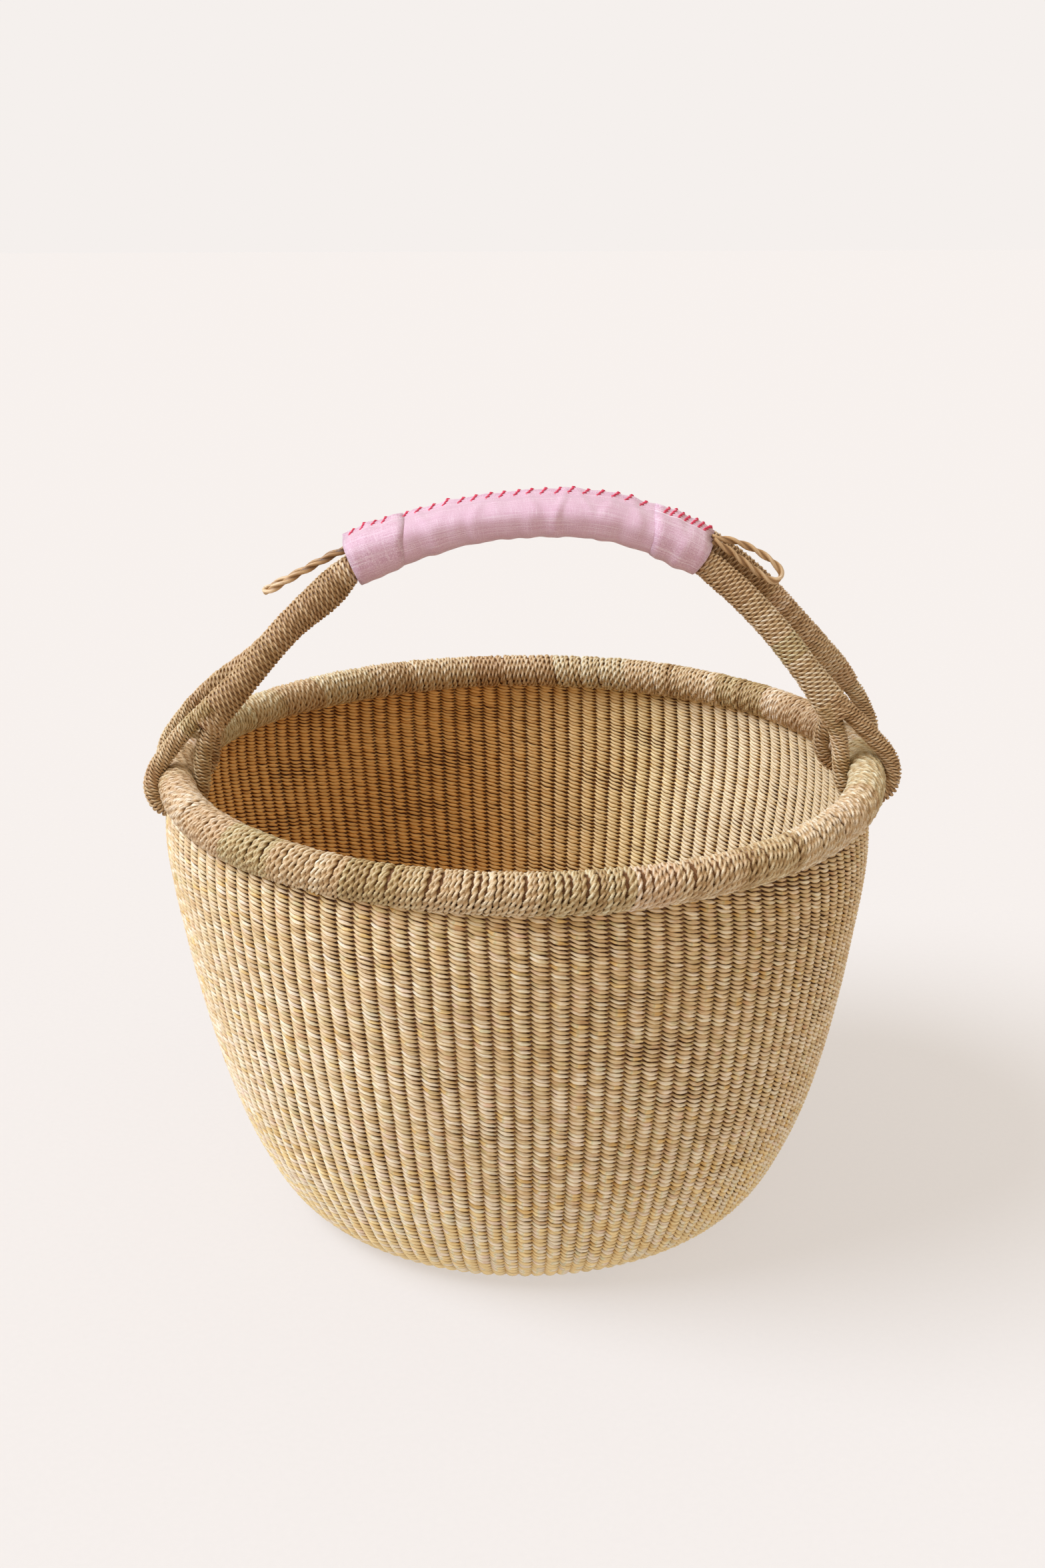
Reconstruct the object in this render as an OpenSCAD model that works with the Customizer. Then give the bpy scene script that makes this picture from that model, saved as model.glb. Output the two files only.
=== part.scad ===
// Round woven market basket with a wrapped rim, a double arched handle that
// forks over the rim at each foot, a stitched cloth grip and two cord loops.
// Z is up, X runs along the handle, and the origin is under the base's centre.

/* [Basket] */
// Outside radius of the rim roll
rim_outer_r = 200; // [190:1:210]
// Radius of the rim roll with its cord wrap
roll_r = 10.6; // [9:0.1:12]
// Height of the rim roll's middle above the floor
rim_z = 248; // [244:1:252]
// Thickness of one layer of weaving straw
weave_t = 1.9; // [1.5:0.1:2.2]
// Thickness of the upright stakes between the two layers
stake_t = 2.6; // [2:0.1:3]
// Number of upright stakes round the wall
stake_count = 128; // [64:64:128]

/* [Handle] */
// Radius of a wrapped handle strand
strand_r = 8.8; // [8:0.1:9]
// Thickness of the cord wrapped round a strand
wrap_t = 2.9; // [2:0.1:3.5]
// Radius of a strand where it is squeezed inside the grip
squeezed_r = 6.4; // [6:0.1:7.5]
// Radius of a forked leg with its cord wrap
leg_r = 5; // [4.6:0.1:5.2]
// Distance from the handle's middle plane to each foot
foot_y = 27; // [24:1:30]

/* [Grip] */
// Thickness of the cord binding round both strands
binding_t = 1.4; // [1.2:0.1:2.2]
// Thickness of the cloth sleeve
cloth_t = 1; // [0.8:0.1:1.5]
// Thickness of the cloth cuff folded over each end of the sleeve
cuff_t = 0.9; // [0.6:0.1:1.2]
// Radius of the sewing thread
thread_r = 0.55; // [0.4:0.05:0.7]
// Radius of the cord of the two tie loops
tie_r = 2.2; // [2:0.1:2.3]

/* [Hidden] */

$fn = 96;
straw = [0.80, 0.68, 0.46];
pale_straw = [0.86, 0.76, 0.56];
golden_cord = [0.72, 0.57, 0.34];
pink_cloth = [0.88, 0.74, 0.84];
coral_thread = [0.86, 0.25, 0.33];

wall_t = 2 * weave_t + stake_t;
rim_r = rim_outer_r - roll_r;
core_r = roll_r - 2.5;
skin_gap = 0.1;
fit_gap = 0.2;

// The weave's outside line, from the flat base, round the corner and up into the rim.
cross_r = 30;
base_r = 122;
body_line = [
    [base_r, 0], [130, 1.5], [138, 6], [145, 14], [151, 24], [157, 37], [164, 54],
    [170, 72], [176, 94], [181.5, 119], [186, 143], [189.5, 166], [193, 190],
    [195, 212], [195.5, 228], [195, rim_z - 3]
];

// Middle lines of the two strands seen from the front, as [x, z]. The handle is twisted a
// little: the rear strand is the lower one on the left and the higher one on the right.
front_arch = [
    [-172, 280], [-163, 290], [-150, 303.5], [-137, 318.5], [-123, 333.5], [-110, 345.5],
    [-92, 361], [-74, 370], [-60, 375], [-22, 384.5], [18, 387], [50, 383], [77, 374],
    [98.5, 361.5], [107, 354.5], [118, 345], [136, 326.5], [152, 306.5], [160, 296], [172, 280]
];
rear_arch = [
    [-172, 280], [-163, 289.5], [-150, 300.5], [-136, 313.5], [-122, 328.5], [-109, 342],
    [-92, 358.5], [-74, 368.5], [-60, 375], [-22, 386], [18, 390.5], [50, 388.5], [77, 381.5],
    [98.5, 371], [112, 362], [125.5, 350.3], [139, 337.3], [152, 323], [165.5, 307.5],
    [175, 295], [182, 281]
];
fork_z = front_arch[0][1];
// Heights where the corner's weave ends and where the lower wall's does.
corner_z = 40;
middle_z = 130;
band_gap = 0.2;
edge_gap = 0.6;
// How far out the rear right foot sits beyond the other three, fading out down its legs.
rear_right_shift = 10;
shift_low_z = 258;
// The two strands lie side by side above part_z and part from there down to the fork.
part_z = 368;
grip_half_y = squeezed_r + 0.4;
// Places along X up to which a strand is squeezed, and from which it has its full size.
squeeze_end_x = 88;
full_x = 104;

// Middle lines of a foot's two legs, as [distance from the basket's axis along X, z].
outer_leg = [
    [176.5, 285], [184, 278], [192.5, 270], [199, 262], [202.9, 254], [203.5, 246],
    [201.5, 238.5], [197.5, 233.5], [193.5, 232.5]
];
inner_leg = [
    [167.5, 278], [169.8, 271], [171.2, 264], [171.6, 256], [171.3, 248],
    [171.8, 241], [175.5, 235.5], [181, 233], [187, 232.5]
];

// Middle lines of the two tie loops, from one end in the sleeve's mouth to the other.
left_tie = [
    [-96.5, -5.3, 370.2], [-101.5, -5.6, 368], [-107, -6.2, 365.2], [-114, -7, 361.6],
    [-121, -7.8, 358], [-128, -8.2, 354], [-133.5, -7.4, 350.6], [-137, -4.6, 348.6],
    [-137.4, -1, 349], [-134.4, 2, 351.8], [-128.5, 2.6, 355.4], [-121, 1.8, 359],
    [-114, 1, 362.4], [-107, 0.2, 365.8], [-101.5, -0.3, 368.3], [-96.5, -0.6, 370.2]
];
right_tie = [
    [104.3, -7.4, 372.8], [109, -7.4, 369.6], [114, -7, 366], [119, -6.4, 362],
    [124, -5.6, 358.2], [128.5, -4.8, 354.8], [133, -3.8, 351.8], [137.5, -2.8, 350.4],
    [140.6, -2, 352.6], [139.8, -1.6, 356.4], [135.6, -1.4, 360.8], [130, -1.4, 364.8],
    [124, -1.7, 368.2], [117.5, -2, 371.2], [111, -2.2, 373], [104.3, -2.4, 373.8]
];
mouth_left_x = -88;
mouth_right_x = 97;
cuff_seam_left_x = -64;
cuff_seam_right_x = 71;

// ---- lines ----

function unit(v) = v / norm(v);
function last(v) = v[len(v) - 1];

// Point at t from 0 to 1 between b and c on a smooth curve through a, b, c and d.
function blend_point(a, b, c, d, t) =
    0.5 * ((2 * b) + (c - a) * t + (2 * a - 5 * b + 4 * c - d) * t * t
        + (3 * b - a - 3 * c + d) * t * t * t);

// A smooth line through the points, with steps short pieces between neighbours.
function smooth_line(p, steps) = [
    for (i = [0:len(p) - 2], k = [0:steps - 1])
        blend_point(p[max(i - 1, 0)], p[i], p[i + 1], p[min(i + 2, len(p) - 1)], k / steps),
    last(p)
];

// Unit direction of a line at point i.
function heading(p, i) = unit(p[min(i + 1, len(p) - 1)] - p[max(i - 1, 0)]);

// Upper normal of a line that runs from -X to +X: it has no part along Y.
function upper(t) = unit([-t[2], 0, t[0]]);

// How far a strand lies from the handle's middle plane at height z.
function strand_y(z) =
    z >= part_z ? grip_half_y
    : grip_half_y + (foot_y - grip_half_y) * (part_z - z) / (part_z - fork_z);

// A strand's middle line: side is -1 for the front strand and 1 for the rear.
function strand_line(arch, side) =
    smooth_line([for (p = arch) [p[0], side * strand_y(p[1]), p[1]]], 2);

// Heights of the two strands' middle lines, of the grip between them, and its lean, at x.
front_heights = smooth_line(front_arch, 4);
rear_heights = smooth_line(rear_arch, 4);
function front_z(x) = lookup(x, front_heights);
function rear_z(x) = lookup(x, rear_heights);
function grip_z(x) = (front_z(x) + rear_z(x)) / 2;
function grip_slope(x) = atan2(grip_z(x + 2) - grip_z(x - 2), 4);
function half_step(x) = (rear_z(x) - front_z(x)) / 2 * cos(grip_slope(x));
function grip_tilt(x) = atan2(half_step(x), grip_half_y);

// The grip's middle line between two places along X.
function grip_line(x0, x1, count) = [
    for (i = [0:count]) let (x = x0 + (x1 - x0) * i / count) [x, 0, grip_z(x)]
];

// ---- tubes ----

// A ring of sides points round c, a along n and b along m, squarer as power grows.
function ring(c, n, m, a, b, sides, power) = [
    for (k = [0:sides - 1])
        let (w = 360 * k / sides, cw = cos(w), sw = sin(w))
        c + n * a * sign(cw) * pow(abs(cw), 2 / power)
          + m * b * sign(sw) * pow(abs(sw), 2 / power)
];

// Rings square to a line. size gives each ring's two half widths, [upright, across].
function rings(line, size, sides, power) = [
    for (i = [0:len(line) - 1])
        let (t = heading(line, i), n = upper(t), m = cross(n, t))
        ring(line[i], n, m, size[i][0], size[i][1], sides, power)
];

// Rings round the grip's middle line, each leaning with the two strands inside it. a is the
// half height and b what lies outside the strands' own spread to either side.
function grip_rings(line, a, b) = [
    for (i = [0:len(line) - 1])
        let (t = heading(line, i), n = upper(t), m = cross(n, t),
             tilt = grip_tilt(line[i][0]),
             up = n * cos(tilt) - m * sin(tilt), across = m * cos(tilt) + n * sin(tilt),
             spread = norm([grip_half_y, half_step(line[i][0])]))
        ring(line[i], up, across, a, b + spread, grip_sides, grip_power)
];

// Side faces between neighbouring rings, numbered from first.
function skin(count, sides, first, inward) = [
    for (i = [0:count - 2], k = [0:sides - 1])
        let (a = first + i * sides + k,
             b = first + i * sides + (k + 1) % sides,
             quad = [a, a + sides, b + sides, b])
        each (inward
            ? [[quad[2], quad[1], quad[0]], [quad[3], quad[2], quad[0]]]
            : [[quad[0], quad[1], quad[2]], [quad[0], quad[2], quad[3]]])
];

module rod(ring_list) {
    count = len(ring_list);
    sides = len(ring_list[0]);
    points = [for (r = ring_list) each r];
    start = [for (k = [0:sides - 1]) k];
    end = [for (k = [sides - 1:-1:0]) (count - 1) * sides + k];
    polyhedron(points, concat(skin(count, sides, 0, false), [start], [end]));
}

module pipe(outer_rings, inner_rings) {
    count = len(outer_rings);
    sides = len(outer_rings[0]);
    inner = count * sides;
    end = (count - 1) * sides;
    points = concat([for (r = outer_rings) each r], [for (r = inner_rings) each r]);
    start_face = [
        for (k = [0:sides - 1])
            let (j = (k + 1) % sides)
            each [[k, j, inner + k], [j, inner + j, inner + k]]
    ];
    end_face = [
        for (k = [0:sides - 1])
            let (j = (k + 1) % sides)
            each [[end + k, inner + end + k, end + j],
                  [end + j, inner + end + k, inner + end + j]]
    ];
    polyhedron(points, concat(
        skin(count, sides, 0, false), skin(count, sides, inner, true),
        start_face, end_face));
}

// ---- basket ----

// Points of the body line moved into the wall by d.
function inside_line(d) = [
    for (i = [0:len(body_line) - 1])
        let (before = i == 0 ? [cross_r, 0] : body_line[i - 1],
             after = body_line[min(i + 1, len(body_line) - 1)],
             t = unit(after - before))
        body_line[i] + d * [-t[1], t[0]]
];

// Cross-section of one layer of the wall, between two depths from its outside.
module wall_section(d0, d1) {
    outer_line = inside_line(d0);
    inner_line = inside_line(d1);
    polygon(concat(outer_line, [for (i = [len(inner_line) - 1:-1:0]) inner_line[i]]));
}

module rim_section(r) {
    translate([rim_r, rim_z]) circle(r);
}

module base_layer(z0) {
    translate([0, 0, z0]) difference() {
        cylinder(h = weave_t, r = base_r - edge_gap);
        translate([0, 0, -1]) cylinder(h = weave_t + 2, r = cross_r);
    }
}

module base_cross() {
    bar_r = wall_t / 4;
    pitch = 2 * bar_r + 0.6;
    reach = cross_r - 0.5;
    rows = floor((reach - bar_r) / pitch);
    color(straw)
    for (turn = [0, 1], i = [-rows:rows]) {
        half = sqrt(reach * reach - pow(abs(i * pitch) + bar_r, 2));
        rotate([0, 0, 90 * turn])
            translate([-half, i * pitch, bar_r * (1 + 2 * turn)])
            rotate([0, 90, 0]) cylinder(h = 2 * half, r = bar_r, $fn = 24);
    }
}

module base_stakes() {
    rod_r = stake_t / 2 - skin_gap;
    spokes = stake_count / 2;
    color(straw)
    for (i = [0:spokes - 1])
        rotate([0, 0, (i + 0.5) * 360 / spokes])
            translate([cross_r + 2, 0, weave_t + stake_t / 2])
            rotate([0, 90, 0]) cylinder(h = base_r - cross_r - 6, r = rod_r, $fn = 24);
}

module base_weave_under() {
    color(pale_straw) base_layer(0);
}

module base_weave_upper() {
    color(pale_straw) base_layer(weave_t + stake_t);
}

module wall_stakes() {
    width = 1.3;
    color(straw)
    for (i = [0:stake_count - 1])
        rotate([0, 0, i * 360 / stake_count - width / 2])
            rotate_extrude(angle = width) difference() {
                wall_section(weave_t + skin_gap, weave_t + stake_t - skin_gap);
                rim_section(core_r + skin_gap);
            }
}

// One layer of the wall's weave between two heights, and between two depths.
module wall_band(d0, d1, low, high) {
    color(pale_straw) rotate_extrude() intersection() {
        difference() {
            wall_section(d0, d1);
            rim_section(core_r);
        }
        translate([0, low]) square([2 * rim_outer_r, high - low]);
    }
}

module outside_band(low, high) { wall_band(0, weave_t, low, high); }
module inside_band(low, high) { wall_band(weave_t + stake_t, wall_t, low, high); }

module corner_weave_outside() { outside_band(0, corner_z); }
module corner_weave_inside() { inside_band(0, corner_z); }
module lower_weave_outside() { outside_band(corner_z + band_gap, middle_z); }
module lower_weave_inside() { inside_band(corner_z + band_gap, middle_z); }
module upper_weave_outside() { outside_band(middle_z + band_gap, rim_z); }
module upper_weave_inside() { inside_band(middle_z + band_gap, rim_z); }

module rim_core() {
    color(straw) rotate_extrude() rim_section(core_r);
}

module rim_wrap() {
    color(golden_cord) rotate_extrude() difference() {
        rim_section(roll_r);
        rim_section(core_r);
        wall_section(0, wall_t);
    }
}

// ---- handle ----

// Half widths of a strand, depth under its skin, at each ring. It is squeezed in the grip
// and widens where it is about to fork.
fork_length = 24;
function strand_size(line, depth) = [
    for (p = line)
        let (fork = max(0, min(1, (fork_z + fork_length - p[2]) / fork_length)),
             free = max(0, min(1, (abs(p[0]) - squeeze_end_x) / (full_x - squeeze_end_x))),
             r = squeezed_r + (strand_r - squeezed_r) * free - depth)
        [r + 2.4 * fork, r - 1.2 * fork]
];

module strand_core(arch, side) {
    line = strand_line(arch, side);
    size = strand_size(line, wrap_t + skin_gap);
    color(straw) rod(rings(line, size, 12, 2));
}

module strand_wrap(arch, side) {
    line = strand_line(arch, side);
    outer_rings = rings(line, strand_size(line, 0), 12, 2);
    inner_rings = rings(line, strand_size(line, wrap_t), 12, 2);
    color(golden_cord) pipe(outer_rings, inner_rings);
}

// A leg's route moved out as the rear right foot is.
function slid(route) = [
    for (p = route)
        let (share = max(0, min(1, (p[1] - shift_low_z) / (fork_z - shift_low_z))))
        [p[0] + rear_right_shift * share, p[1]]
];

// One leg: side is -1 left or 1 right, row is -1 front or 1 rear.
module leg(route, side, row) {
    path = [for (p = route) [p[0], row * foot_y, p[1]]];
    line = smooth_line(path, 2);
    size = [for (i = [0:len(line) - 1]) let (r = min(leg_r, 4.4 + 0.3 * i)) [r, r]];
    color(golden_cord)
        mirror([side < 0 ? 1 : 0, 0, 0]) rod(rings(line, size, 10, 2));
}

module front_strand_core() { strand_core(front_arch, -1); }
module front_strand_wrap() { strand_wrap(front_arch, -1); }
module rear_strand_core() { strand_core(rear_arch, 1); }
module rear_strand_wrap() { strand_wrap(rear_arch, 1); }
module front_left_outer_leg() { leg(outer_leg, -1, -1); }
module front_left_inner_leg() { leg(inner_leg, -1, -1); }
module front_right_outer_leg() { leg(outer_leg, 1, -1); }
module front_right_inner_leg() { leg(inner_leg, 1, -1); }
module rear_left_outer_leg() { leg(outer_leg, -1, 1); }
module rear_left_inner_leg() { leg(inner_leg, -1, 1); }
module rear_right_outer_leg() { leg(slid(outer_leg), 1, 1); }
module rear_right_inner_leg() { leg(slid(inner_leg), 1, 1); }

// ---- grip ----

binding_gap = 0.4;
binding_a = squeezed_r + binding_gap + binding_t;
sleeve_a = binding_a + 2 * fit_gap;
cuff_a = sleeve_a + cloth_t + 2 * fit_gap;
grip_sides = 24;
grip_power = 4;

// A hollow oval band round the grip, depth its inner face's distance out from the strands.
module band(x0, x1, count, depth, t) {
    line = grip_line(x0, x1, count);
    pipe(grip_rings(line, depth + t, depth + t), grip_rings(line, depth, depth));
}

module grip_binding() {
    color(golden_cord)
        band(mouth_left_x + 10, mouth_right_x - 10, 24, binding_a - binding_t, binding_t);
}

module grip_sleeve() {
    color(pink_cloth)
        band(mouth_left_x, mouth_right_x, 24, sleeve_a, cloth_t);
}

module cuff(x0, x1) {
    color(pink_cloth) band(x0, x1, 6, cuff_a, cuff_t);
}

module left_cuff() { cuff(mouth_left_x + 1, cuff_seam_left_x); }
module right_cuff() { cuff(cuff_seam_right_x, mouth_right_x - 1); }

// A row of short slanted stitches along the top of the grip, out from its middle line.
module stitches(x0, x1, pitch, out, half) {
    count = floor((x1 - x0) / pitch);
    color(coral_thread)
    for (i = [0:count]) {
        x = x0 + i * pitch;
        translate([x, 0, grip_z(x)]) rotate([0, -grip_slope(x), 0]) rotate([grip_tilt(x), 0, 0])
            translate([0, 3, out + thread_r + fit_gap]) rotate([0, 0, 35])
            rotate([90, 0, 0]) cylinder(h = 2 * half, r = thread_r, center = true, $fn = 16);
    }
}

module seam_thread() {
    stitches(cuff_seam_left_x + 5, cuff_seam_right_x - 5, 7.8, sleeve_a + cloth_t, 3);
}

module left_cuff_thread() {
    stitches(mouth_left_x + 5, cuff_seam_left_x - 3, 5, cuff_a + cuff_t, 3);
}

module right_cuff_thread() {
    stitches(cuff_seam_right_x + 3, mouth_right_x - 5, 5, cuff_a + cuff_t, 3);
}

// ---- tie loops ----

// Rings round a closed-looking loop: across is steady, because it never runs along Y alone.
function tie_rings(line, r) = [
    for (i = [0:len(line) - 1])
        let (t = heading(line, i),
             side = abs(t[1]) > 0.9 ? [1, 0, 0] : [0, 1, 0],
             n = unit(cross(side, t)))
        ring(line[i], n, cross(n, t), r, r, 8, 2)
];

module tie_loop(route) {
    color(golden_cord) rod(tie_rings(smooth_line(route, 2), tie_r));
}

module left_tie_loop() { tie_loop(left_tie); }
module right_tie_loop() { tie_loop(right_tie); }

base_cross();
base_stakes();
base_weave_under();
base_weave_upper();
wall_stakes();
corner_weave_outside();
corner_weave_inside();
lower_weave_outside();
lower_weave_inside();
upper_weave_outside();
upper_weave_inside();
rim_core();
rim_wrap();
front_strand_core();
front_strand_wrap();
rear_strand_core();
rear_strand_wrap();
front_left_outer_leg();
front_left_inner_leg();
front_right_outer_leg();
front_right_inner_leg();
rear_left_outer_leg();
rear_left_inner_leg();
rear_right_outer_leg();
rear_right_inner_leg();
grip_binding();
grip_sleeve();
left_cuff();
right_cuff();
seam_thread();
left_cuff_thread();
right_cuff_thread();
left_tie_loop();
right_tie_loop();
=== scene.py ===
import math

import bpy
import numpy as np
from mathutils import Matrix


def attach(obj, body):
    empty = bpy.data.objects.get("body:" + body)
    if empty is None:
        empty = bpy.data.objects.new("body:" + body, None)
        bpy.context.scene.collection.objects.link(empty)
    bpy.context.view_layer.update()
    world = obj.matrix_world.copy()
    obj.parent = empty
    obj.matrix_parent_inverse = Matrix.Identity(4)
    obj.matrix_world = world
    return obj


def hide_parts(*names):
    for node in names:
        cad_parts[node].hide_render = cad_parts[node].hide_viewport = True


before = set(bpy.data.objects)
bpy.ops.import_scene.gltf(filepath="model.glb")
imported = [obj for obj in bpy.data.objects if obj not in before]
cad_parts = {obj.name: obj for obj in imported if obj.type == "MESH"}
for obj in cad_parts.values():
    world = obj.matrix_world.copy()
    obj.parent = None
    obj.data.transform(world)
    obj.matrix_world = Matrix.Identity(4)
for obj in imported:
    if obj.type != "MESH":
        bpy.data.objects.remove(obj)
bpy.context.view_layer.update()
scene = bpy.context.scene

# Pieces are made in millimetres, and MM turns them into metres. The camera, the stage and the
# flat sizes of the cloth are in metres.
MM = 0.001

# ---- camera ----

camera_place = (-0.0512, -0.9852, 0.5804)
camera_tilt = 70.72
camera_turn = -3
focal_length = 42.86
picture_height = 36

camera_data = bpy.data.cameras.new("camera")
camera_data.sensor_fit = "VERTICAL"
camera_data.sensor_height = picture_height
camera_data.lens = focal_length
camera = bpy.data.objects.new("camera", camera_data)
scene.collection.objects.link(camera)
camera.location = camera_place
camera.rotation_euler = (math.radians(camera_tilt), 0, math.radians(camera_turn))
scene.camera = camera


# ---- lines ----

def smooth(points, steps):
    """A Catmull-Rom curve through the points, with steps short pieces between neighbours."""
    p = np.array(points, float)
    before = np.vstack([p[:1], p[:-2]])
    after = np.vstack([p[2:], p[-1:]])
    t = (np.arange(steps) / steps)[None, :, None]
    a, b, c, d = (q[:, None, :] for q in (before, p[:-1], p[1:], after))
    curve = 0.5 * (2 * b + (c - a) * t + (2 * a - 5 * b + 4 * c - d) * t ** 2
                   + (3 * b - a - 3 * c + d) * t ** 3)
    return np.vstack([curve.reshape(-1, p.shape[1]), p[-1:]])


def unit(v):
    return v / np.maximum(np.linalg.norm(v, axis=-1, keepdims=True), 1e-9)


def lengths(path):
    """Distance along the path at each of its points."""
    steps = np.linalg.norm(np.diff(path, axis=0), axis=1)
    return np.concatenate([[0], np.cumsum(steps)])


def even(path, step):
    """The path again, with points a fixed step apart."""
    s = lengths(path)
    at = np.linspace(0, s[-1], max(2, int(round(s[-1] / step)) + 1))
    return np.stack([np.interp(at, s, path[:, k]) for k in range(path.shape[1])], axis=1)


def sharpened(wave, power):
    """A wave from -1 to 1 with flatter tops and quicker crossings."""
    return np.sign(wave) * np.abs(wave) ** power


# ---- meshes ----

class Bundle:
    """Gathers tubes and makes one mesh of them, with what the straw material reads."""

    def __init__(self, seed):
        self.points = []
        self.faces = []
        self.fibre = []
        self.tone = []
        self.hue = []
        self.count = 0
        self.random = np.random.default_rng(seed)

    def add(self, rings, along, tone, hue=0.5, closed=False, shade=0.0):
        """rings is (rings, sides, 3). along, tone and hue have one value for each ring, and
        shade has one for each side, added to the tone as painted shade and light across the
        section."""
        n, m, _ = rings.shape
        grid = self.count + np.arange(n * m).reshape(n, m)
        if closed:
            grid = np.vstack([grid, grid[:1]])
        a = grid[:-1]
        b = grid[1:]
        quads = np.stack([a, np.roll(a, -1, axis=1), np.roll(b, -1, axis=1), b], axis=-1)
        self.points.append(rings.reshape(-1, 3))
        self.faces.append(quads.reshape(-1, 4))
        angle = 2 * np.pi * np.arange(m) / m
        shift = self.random.uniform(0, 100, 3)
        fibre = np.empty((n, m, 3))
        fibre[:, :, 0] = shift[0] + np.asarray(along)[:, None]
        fibre[:, :, 1] = shift[1] + np.cos(angle)[None, :]
        fibre[:, :, 2] = shift[2] + np.sin(angle)[None, :]
        self.fibre.append(fibre.reshape(-1, 3))
        painted_shades = np.broadcast_to(shade, m)[None, :]
        self.tone.append((np.broadcast_to(tone, n)[:, None] + painted_shades).ravel())
        self.hue.append(np.repeat(np.broadcast_to(hue, n), m))
        self.count += n * m

    def build(self, name, material, body, replaced=()):
        piece = mesh_piece(name, np.vstack(self.points), np.vstack(self.faces), material, body,
                           replaced)
        mesh = piece.data
        values = mesh.attributes.new("fibre", "FLOAT_VECTOR", "POINT")
        values.data.foreach_set("vector", np.vstack(self.fibre).astype(np.float32).ravel())
        for key, lists in (("tone", self.tone), ("hue", self.hue)):
            values = mesh.attributes.new(key, "FLOAT", "POINT")
            values.data.foreach_set("value", np.concatenate(lists).astype(np.float32))
        return piece


def mesh_piece(name, points, quads, material, body, replaced=()):
    """A smooth-shaded piece of four-sided faces, from points in millimetres."""
    mesh = bpy.data.meshes.new(name)
    mesh.vertices.add(len(points))
    mesh.vertices.foreach_set("co", (points * MM).astype(np.float32).ravel())
    mesh.loops.add(4 * len(quads))
    mesh.loops.foreach_set("vertex_index", quads.astype(np.int32).ravel())
    mesh.polygons.add(len(quads))
    mesh.polygons.foreach_set("loop_start", np.arange(0, 4 * len(quads), 4, dtype=np.int32))
    mesh.polygons.foreach_set("use_smooth", np.ones(len(quads), bool))
    mesh.update(calc_edges=True)
    mesh.materials.append(material)
    piece = bpy.data.objects.new(name, mesh)
    scene.collection.objects.link(piece)
    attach(piece, body)
    if replaced:
        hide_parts(*replaced)
    return piece


def tube(path, out, half_out, half_side, angle):
    """Rings of a plain oval tube, with a corner at each angle from the outward direction."""
    along = unit(np.gradient(path, axis=0))
    up = unit(out - np.sum(out * along, axis=1, keepdims=True) * along)
    side = np.cross(along, up)
    a = np.broadcast_to(half_out, len(path))[:, None] * np.cos(angle)[None, :]
    b = np.broadcast_to(half_side, len(path))[:, None] * np.sin(angle)[None, :]
    return path[:, None] + a[..., None] * up[:, None] + b[..., None] * side[:, None]


def round_angles(sides):
    return 2 * np.pi * np.arange(sides) / sides


def ply_painted_shade(sides, depth):
    """Painted shade of a two-ply cord: darker towards the hollow between its plies, where shade
    falls.
    """
    return -depth * np.abs(np.sin(round_angles(sides))) ** 3


# In a two-ply cord, the distance of a ply's middle from the cord's and the radius of a ply, as
# shares of the cord's radius.
ply_offset = 0.44
ply_size = 0.56


def two_ply(path, out, radius, lay, sides=8, phase=0.0):
    """Rings of a cord of two plies, twisted round each other once every lay millimetres."""
    along = unit(np.gradient(path, axis=0))
    up = unit(out - np.sum(out * along, axis=1, keepdims=True) * along)
    side = np.cross(along, up)
    turn = 2 * np.pi * lengths(path) / lay + phase
    angle = round_angles(sides)
    apart = ply_offset * np.broadcast_to(radius, len(path))[:, None]
    ply = ply_size * np.broadcast_to(radius, len(path))[:, None]
    reach = (apart * np.abs(np.cos(angle))[None, :]
             + np.sqrt(ply ** 2 - (apart * np.sin(angle)[None, :]) ** 2))
    a = reach * np.cos(angle[None, :] + turn[:, None])
    b = reach * np.sin(angle[None, :] + turn[:, None])
    return path[:, None] + a[..., None] * up[:, None] + b[..., None] * side[:, None]


# ---- materials ----

def srgb(r, g, b):
    """A colour as 0 to 255 screen values, turned into what a shader takes."""
    return tuple(((c / 255 + 0.055) / 1.055) ** 2.4 for c in (r, g, b)) + (1,)


def new_material(name):
    material = bpy.data.materials.new(name)
    material.use_nodes = True
    nodes = material.node_tree.nodes
    nodes.clear()
    output = nodes.new("ShaderNodeOutputMaterial")
    shader = nodes.new("ShaderNodeBsdfPrincipled")
    material.node_tree.links.new(shader.outputs[0], output.inputs[0])
    return material, nodes, material.node_tree.links, shader


def colour_ramp(nodes, stops):
    ramp = nodes.new("ShaderNodeValToRGB")
    elements = ramp.color_ramp.elements
    elements[0].position, elements[0].color = stops[0]
    elements[1].position, elements[1].color = stops[-1]
    for place, colour in stops[1:-1]:
        elements.new(place).color = colour
    return ramp


def mixed(nodes, links, kind, factor, a, b):
    """A colour mix. factor, a and b are each a socket or a value."""
    mix = nodes.new("ShaderNodeMix")
    mix.data_type = "RGBA"
    mix.blend_type = kind
    for socket, value in ((mix.inputs[0], factor), (mix.inputs[6], a), (mix.inputs[7], b)):
        if isinstance(value, bpy.types.NodeSocket):
            links.new(value, socket)
        else:
            socket.default_value = value
    return mix.outputs[2]


def noise(nodes, links, vector, scale, detail):
    texture = nodes.new("ShaderNodeTexNoise")
    links.new(vector, texture.inputs["Vector"])
    texture.inputs["Scale"].default_value = scale
    texture.inputs["Detail"].default_value = detail
    return texture.outputs["Fac"]


def stretched(nodes, links, vector, scale):
    mapping = nodes.new("ShaderNodeMapping")
    links.new(vector, mapping.inputs["Vector"])
    mapping.inputs["Scale"].default_value = scale
    return mapping.outputs[0]


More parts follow.
